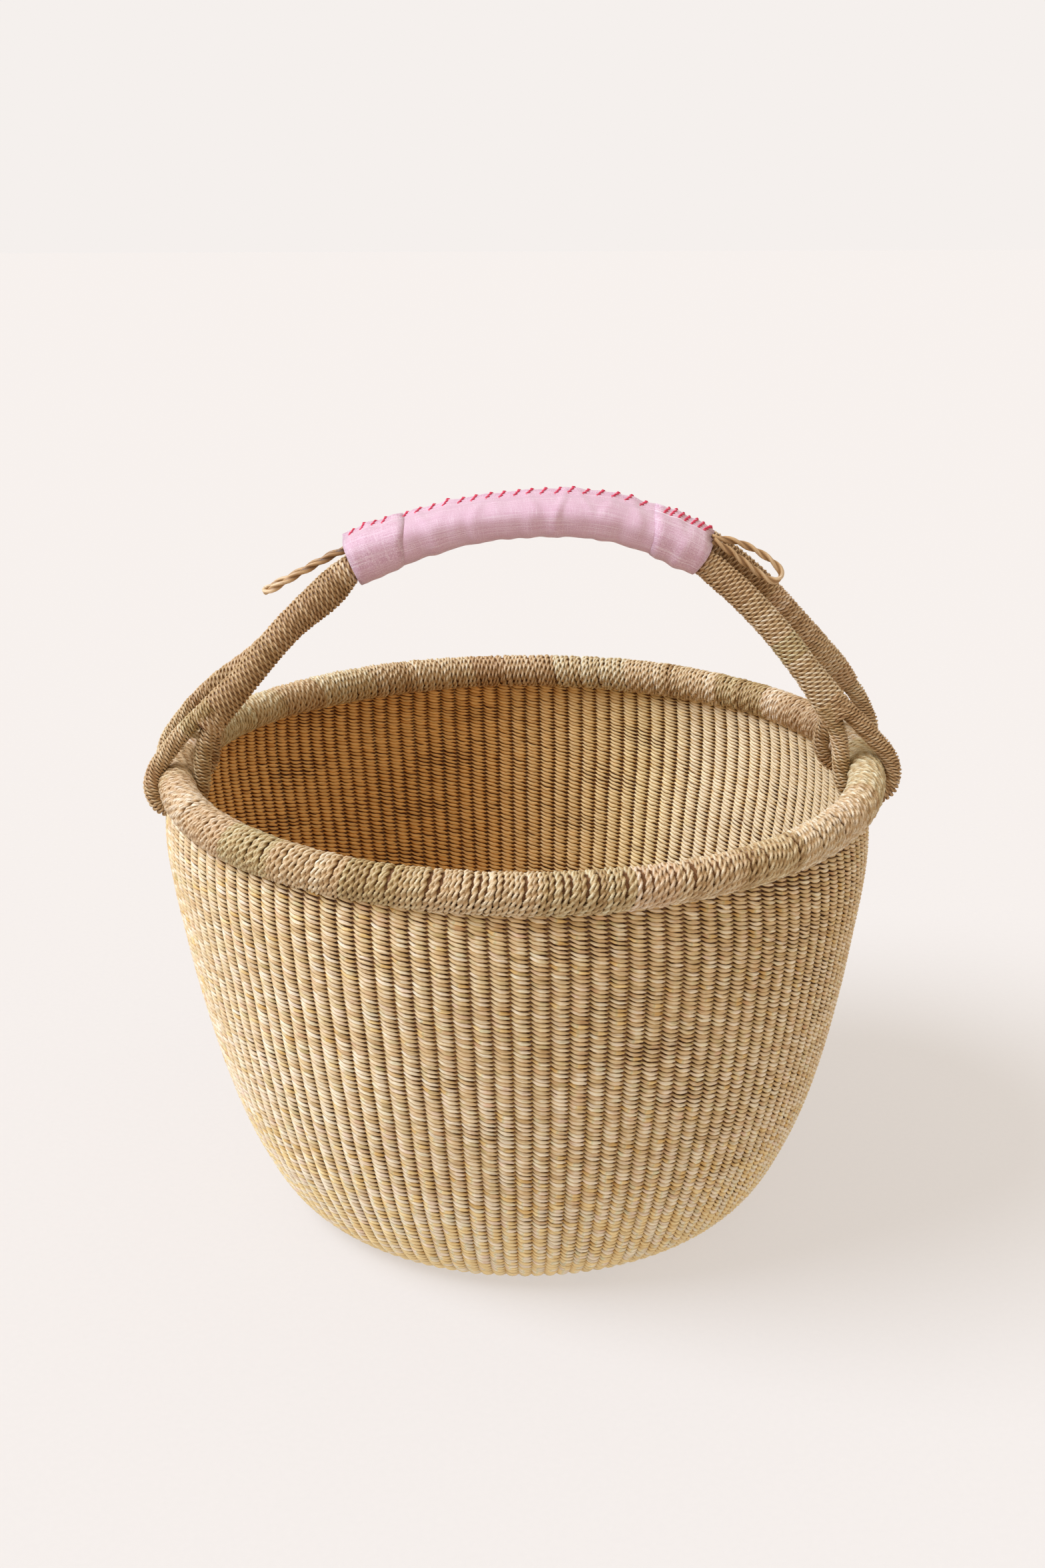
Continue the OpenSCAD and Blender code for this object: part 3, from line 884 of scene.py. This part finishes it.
def grip_frame(x):
    """Middle, upright and sideways directions and half sizes of the grip at each x."""
    z = np.interp(x, sleeve_line[:, 0], sleeve_line[:, 1])
    slope = np.arctan(np.interp(x, sleeve_line[:, 0], sleeve_slope))
    tilt = np.radians(np.interp(x, grip_tilt_x, grip_tilts))
    half_up = np.interp(x, grip_height_x, grip_half_heights)
    nothing = np.zeros_like(x)
    up = np.stack([-np.sin(slope), nothing, np.cos(slope)], axis=-1)
    across = np.stack([nothing, nothing + 1, nothing], axis=-1)
    c, d = np.cos(tilt)[..., None], np.sin(tilt)[..., None]
    return (np.stack([x, nothing, z], axis=-1), up * c - across * d, across * c + up * d,
            half_up, np.full_like(half_up, grip_half_width))


def grip_point(x, turn, lift):
    """A point lift millimetres off the grip's surface. turn runs from the top to the rear."""
    middle, up, across, half_up, half_side = grip_frame(x)
    c = sharpened(np.cos(turn), 2 / section_power)
    d = sharpened(np.sin(turn), 2 / section_power)
    return (middle + ((half_up + lift) * c)[..., None] * up
            + ((half_side + lift) * d)[..., None] * across)


# Folds across the grip, each with its place along X, half width, height and slant.
creases = [(-52, 2.4, 0.6, -5), (-38, 3, 0.4, 6), (-20, 2.6, 0.5, 7), (4, 2.4, 0.4, -5),
           (22, 2.2, 0.9, 5), (31, 2.4, 0.5, -6), (46, 2.8, 0.6, 6), (58, 2.6, 0.5, -4),
           (-78, 2.6, 0.5, 3), (80, 3, 0.5, -4), (88, 2.2, 0.4, 3)]
# Slow waves of the cloth, each with its rate along X, twist, phase and size.
crease_random = np.random.default_rng(90)
waves = [(crease_random.uniform(0.28, 0.75), crease_random.uniform(-1.6, 1.6),
          crease_random.uniform(0, 6.28), crease_random.uniform(0.06, 0.17)) for _ in range(9)]


# The seam is a sharp ridge on a wider one. Each has its height and its spread as an angle.
seam_ridge = [(1.1, 0.05), (0.5, 0.14)]


def cloth_lift(x, turn):
    """How far the cloth stands off its smooth shape: folds across the grip, and the seam."""
    lift = np.zeros_like(x)
    for rate, twist, phase, size in waves:
        lift += size * np.sin(rate * x + twist * turn + phase)
    under = 0.5 - 0.5 * np.cos(turn)
    lift *= 0.5 + 0.3 * under
    for place, width, size, slant_x in creases:
        bend = slant_x * np.sin(turn)
        lift += size * np.exp(-((x - place - bend) / width) ** 2) * (1 - 0.6 * under)
    from_ridge = (turn - ridge_at + np.pi) % (2 * np.pi) - np.pi
    for height, spread in seam_ridge:
        lift = lift + height * np.exp(-(from_ridge / spread) ** 2)
    return lift


slub_scale_along = (0.035, 2.4, 1)
slub_scale_across = (2.4, 0.06, 1)
mottle_scale = (2.2, 2.2, 1)
cloth_depth = 0.0004
# How strongly the slubs show, from the noise's low values to its high ones.
slubs_along = [(0.48, (0, 0, 0, 1)), (0.76, (0.8, 0.8, 0.8, 1))]
slubs_across = [(0.54, (0, 0, 0, 1)), (0.8, (0.5, 0.5, 0.5, 1))]


def cloth_material(name, base, pale, deep):
    """Plain-weave cotton with pale slubs along and across it."""
    material, nodes, links, shader = new_material(name)
    cloth = nodes.new("ShaderNodeAttribute")
    cloth.attribute_name = "fibre"
    along = noise(nodes, links, stretched(nodes, links, cloth.outputs["Vector"],
                                          slub_scale_along), 1.0, 3)
    across = noise(nodes, links, stretched(nodes, links, cloth.outputs["Vector"],
                                           slub_scale_across), 1.0, 3)
    mottle = noise(nodes, links, stretched(nodes, links, cloth.outputs["Vector"],
                                           mottle_scale), 1.0, 5)
    along_ramp = colour_ramp(nodes, slubs_along)
    across_ramp = colour_ramp(nodes, slubs_across)
    links.new(along, along_ramp.inputs[0])
    links.new(across, across_ramp.inputs[0])
    mottled = colour_ramp(nodes, [(0.3, deep), (0.55, base), (0.75, pale)])
    links.new(mottle, mottled.inputs[0])
    first = mixed(nodes, links, "MIX", along_ramp.outputs[0], mottled.outputs[0], pale)
    second = mixed(nodes, links, "MIX", across_ramp.outputs[0], first, pale)
    links.new(second, shader.inputs["Base Color"])
    shader.inputs["Roughness"].default_value = 0.85
    shader.inputs["Sheen Weight"].default_value = 0.35
    shader.inputs["Sheen Roughness"].default_value = 0.5
    add_bump(nodes, links, shader, mottle, 0.35, cloth_depth)
    return material


pink_cotton = cloth_material("pink_cotton", srgb(212, 170, 190), srgb(240, 222, 232),
                             srgb(190, 144, 166))


cloth_thickness = 0.8
cloth_row = 0.8
cloth_sides = 96
# The rolled hem at each end, as how far back and how far down each of its rings lies.
hem = [(2.6, 1.9), (1.4, 1.7), (0.4, 1.0), (0.1, 0.3)]
# The fibre attribute's size round the grip for each radian, and its step between two layers.
fibre_round = 20
layer_step = 9.0


def cloth_tube(name, x0, x1, slant0, slant1, lift, replaced):
    """A sleeve of cloth between x0 and x1, its two ends leaning by slant0 and slant1."""
    rows = int((x1 - x0) / cloth_row)
    turn = 2 * np.pi * np.arange(cloth_sides) / cloth_sides
    t = np.linspace(0, 1, rows)
    start = x0 - slant0 * np.cos(turn)
    end = x1 - slant1 * np.cos(turn)
    x = start[None, :] * (1 - t[:, None]) + end[None, :] * t[:, None]
    angle = np.broadcast_to(turn, x.shape)
    raised = np.full(x.shape, lift)
    for i, (back, drop) in enumerate(hem):
        x[i] = start + back
        x[-1 - i] = end - back
        raised[i] = lift - drop
        raised[-1 - i] = lift - drop
    point = grip_point(x, angle, raised + cloth_lift(x, angle))
    bundle = Bundle(91)
    bundle.add(point, x[:, 0], 0.5)
    layer = np.full(x.shape, lift * layer_step)
    bundle.fibre = [np.stack([x, fibre_round * angle, layer], axis=-1).reshape(-1, 3)]
    piece = bundle.build(name, pink_cotton, "basket", replaced)
    thick = piece.modifiers.new("thick", "SOLIDIFY")
    thick.thickness = cloth_thickness * MM
    thick.offset = -1


binding_pitch = 3.2
binding_radius = 1.6
binding_lay = 8
binding_depth = 3.0


def binding():
    """The cord wound round both strands under the sleeve."""
    line_x = np.linspace(mouth_left_x + 8, mouth_right_x - 8, 240)
    middle = grip_frame(line_x)[0]
    length = lengths(middle)[-1]
    turns = length / binding_pitch
    count = int(turns * 60)
    t = np.linspace(0, 1, count)
    x = np.interp(t, lengths(middle) / length, line_x)
    point = grip_point(x, 2 * np.pi * turns * t, np.full(count, -binding_depth))
    inner = grip_point(x, 2 * np.pi * turns * t, np.full(count, -binding_depth - 1))
    bundle = Bundle(92)
    bundle.add(two_ply(point, unit(point - inner), binding_radius, binding_lay), lengths(point),
               0.5)
    bundle.build("grip_binding_cord", cord_grass, "basket", ["grip_binding"])


# The cuffs lie on the sleeve. The left one reaches out over the root of its tie loop.
cuff_lift = 0.95
left_cuff_reach = 2.2
left_cuff_end_x = -64
right_cuff_start_x = 70.5

binding()
cloth_tube("sleeve_cloth", mouth_left_x + 1, mouth_right_x - 1, 0, 0, 0.0, ["grip_sleeve"])
cloth_tube("left_cuff_cloth", mouth_left_x - left_cuff_reach, left_cuff_end_x, 0, -4.2,
           cuff_lift, ["left_cuff"])
cloth_tube("right_cuff_cloth", right_cuff_start_x, mouth_right_x, 2.4, 0, cuff_lift,
           ["right_cuff"])


# ---- stitches ----

thread_scale = (1.2, 2.0, 2.0)
thread_colours = [(0.3, srgb(190, 36, 72)), (0.6, srgb(230, 62, 96)), (0.8, srgb(244, 118, 140))]


def thread_material():
    """Sewing thread, mottled and lightly ridged."""
    material, nodes, links, shader = new_material("coral_thread")
    fibre = nodes.new("ShaderNodeAttribute")
    fibre.attribute_name = "fibre"
    twist = noise(nodes, links, stretched(nodes, links, fibre.outputs["Vector"],
                                          thread_scale), 1.0, 3)
    ramp = colour_ramp(nodes, thread_colours)
    links.new(twist, ramp.inputs[0])
    links.new(ramp.outputs[0], shader.inputs["Base Color"])
    shader.inputs["Roughness"].default_value = 0.6
    add_bump(nodes, links, shader, twist, 0.5, fibre_depth)
    return material


coral_thread = thread_material()
thread_radius = 1.05
thread_lay = 5
stitch_points = 14
stitch_spread = 0.25
# A stitch stands up in its middle, and its two ends go down into the cloth.
stitch_height = 0.35
stitch_root = 0.5


def stitches(name, node, places, lift, seed):
    """Slanted stitches over the seam's ridge. places gives (x, advance, front, rear) of each:
    where it starts, how far it runs along X, and its ends as angles from the ridge."""
    bundle = Bundle(seed)
    rng = bundle.random
    for x, advance, front, rear in places:
        t = np.linspace(0, 1, stitch_points)
        turn = ridge_at + front + (rear - front) * t
        at = x + advance * t + rng.normal(0, stitch_spread)
        arch = (stitch_height * np.sin(np.pi * t) ** 0.5
                - stitch_root * (1 - np.sin(np.pi * t) ** 0.3))
        point = grip_point(at, turn, lift + cloth_lift(at, turn) + arch)
        lower = grip_point(at, turn, lift - 2 + arch)
        bundle.add(two_ply(point, unit(point - lower), thread_radius, thread_lay), lengths(point),
                   0.5)
    bundle.build(name, coral_thread, "basket", [node])


sleeve_stitch_lift = 0.3
cuff_stitch_lift = cuff_lift + sleeve_stitch_lift
seam_places = [(x, 5, -0.22, 0.1) for x in np.arange(-61, 66, 7.1)]
left_places = [(x, 4, -0.22, 0.1) for x in (-71, -76, -81.5, -87)]
right_places = [(x, 3.6, -0.28, 0.1) for x in (72, 75.5, 79, 82.5, 86, 89.5, 92.5)]
stitches("seam_stitches", "seam_thread", seam_places, sleeve_stitch_lift, 93)
stitches("left_cuff_stitches", "left_cuff_thread", left_places, cuff_stitch_lift, 94)
stitches("right_cuff_stitches", "right_cuff_thread", right_places, cuff_stitch_lift, 95)


# ---- carried-over parts ----

straw_plain = plain_grass_material("straw_plain", srgb(150, 110, 66), srgb(214, 182, 134))
# Painted shade: the cores show only between the wraps, and their dark colour stands for the shade
# there.
core_plain_painted_shade = plain_grass_material("core_plain_painted_shade", srgb(96, 60, 32), srgb(140, 98, 58))
for node, material in (("base_cross", straw_plain), ("rim_core", core_plain_painted_shade),
                       ("front_strand_core", core_plain_painted_shade), ("rear_strand_core", core_plain_painted_shade)):
    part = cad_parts[node]
    part.data.materials.clear()
    part.data.materials.append(material)


# ---- floor and light ----

scene.view_settings.view_transform = "Standard"
paper = srgb(245, 240, 237)
# The share of the floor's brightness that comes from the lights. The rest is its own glow.
lit_share = 0.42
floor_albedo = 0.8
grain_depth = 0.015
grain_scale = 300
stage_reach = 9
wall_at = 8.9
wall_foot = -1
sky_colour = (1.0, 0.85, 0.66, 1)
sky_strength = 0.68
sun_colour = (0.9, 1.0, 1.16)
sun_strength = 3.0
sun_width = 36
sun_turn = (6, -42, 0)


def floor_material():
    """Pale paper that keeps some light of its own, so the shadow on it stays pale."""
    material, nodes, links, shader = new_material("floor_paper")
    place = nodes.new("ShaderNodeTexCoord")
    grain = noise(nodes, links, place.outputs["Object"], grain_scale, 3)
    shade, light = (tuple(c * lit_share * floor_albedo * level for c in paper[:3]) + (1,)
                    for level in (1 - grain_depth, 1 + grain_depth))
    ramp = colour_ramp(nodes, [(0.3, shade), (0.7, light)])
    links.new(grain, ramp.inputs[0])
    links.new(ramp.outputs[0], shader.inputs["Base Color"])
    shader.inputs["Roughness"].default_value = 1.0
    shader.inputs["Specular IOR Level"].default_value = 0.0
    shader.inputs["Emission Color"].default_value = paper
    shader.inputs["Emission Strength"].default_value = 1 - lit_share
    return material


def backdrop_material():
    """Paper that shows one even colour whatever the light."""
    material, nodes, links, shader = new_material("backdrop_paper")
    shader.inputs["Base Color"].default_value = (0, 0, 0, 1)
    shader.inputs["Specular IOR Level"].default_value = 0.0
    shader.inputs["Emission Color"].default_value = paper
    shader.inputs["Emission Strength"].default_value = 1.0
    return material


def stage_sheet(name, corners, material):
    """A flat sheet of four corners that isn't part of the object."""
    mesh = bpy.data.meshes.new(name)
    mesh.from_pydata(corners, [], [(0, 1, 2, 3)])
    mesh.materials.append(material)
    sheet = bpy.data.objects.new(name, mesh)
    scene.collection.objects.link(sheet)
    sheet.visible_glossy = False
    return sheet


floor_corners = ((-stage_reach, -stage_reach), (stage_reach, -stage_reach),
                 (stage_reach, stage_reach), (-stage_reach, stage_reach))
stage_sheet("floor", [(x, y, 0) for x, y in floor_corners], floor_material())

# One sheet on each side, so that every view has the same pale background.
paper_wall = backdrop_material()
for side_name, (x0, y0), (x1, y1) in (
        ("back", (-stage_reach, wall_at), (stage_reach, wall_at)),
        ("right", (wall_at, stage_reach), (wall_at, -stage_reach)),
        ("front", (stage_reach, -wall_at), (-stage_reach, -wall_at)),
        ("left", (-wall_at, -stage_reach), (-wall_at, stage_reach))):
    backdrop = stage_sheet("backdrop_" + side_name,
                           [(x0, y0, wall_foot), (x1, y1, wall_foot), (x1, y1, stage_reach),
                            (x0, y0, stage_reach)], paper_wall)
    backdrop.visible_shadow = False
    backdrop.visible_diffuse = False

world = bpy.data.worlds.new("studio")
scene.world = world
world.use_nodes = True
background = world.node_tree.nodes["Background"]
background.inputs[0].default_value = sky_colour
background.inputs[1].default_value = sky_strength

sun = bpy.data.lights.new("key", "SUN")
sun.energy = sun_strength
sun.color = sun_colour
sun.angle = math.radians(sun_width)
key = bpy.data.objects.new("key", sun)
scene.collection.objects.link(key)
key.rotation_euler = tuple(math.radians(a) for a in sun_turn)
